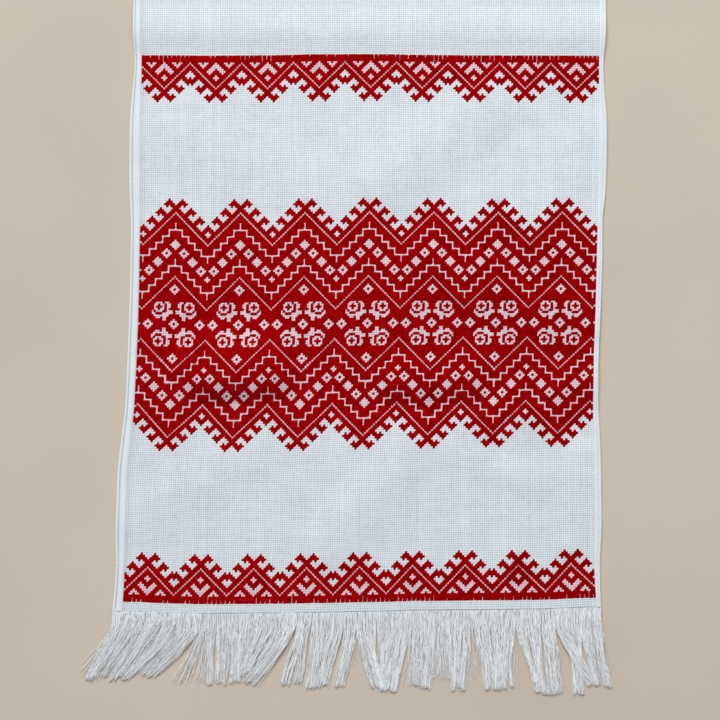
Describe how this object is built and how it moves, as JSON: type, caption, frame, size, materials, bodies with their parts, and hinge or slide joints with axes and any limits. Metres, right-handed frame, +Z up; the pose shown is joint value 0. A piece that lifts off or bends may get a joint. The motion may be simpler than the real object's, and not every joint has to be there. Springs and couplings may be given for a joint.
{
  "type": "rushnyk ritual towel",
  "caption": "Long white woven towel laid out flat, with red embroidered bands across both ends, turned side hems and a knotless fringe at each end.",
  "frame": {"origin": "middle of the footprint, on the surface that the towel lies on", "axes": "+X across the towel, +Y along it from the end shown in the picture towards the other end, +Z up from the surface"},
  "size_m": [0.4195, 1.504, 0.0054],
  "materials": {
    "woven_cotton": "open even weave, matte white cotton",
    "fringe_cotton": "loose bleached cotton threads",
    "red_stitching": "counted stitches in dark red cotton"
  },
  "bodies": {
    "root": {"cloth": "woven_cotton", "fringe_near": "fringe_cotton", "fringe_far": "fringe_cotton"}
  },
  "joints": []
}
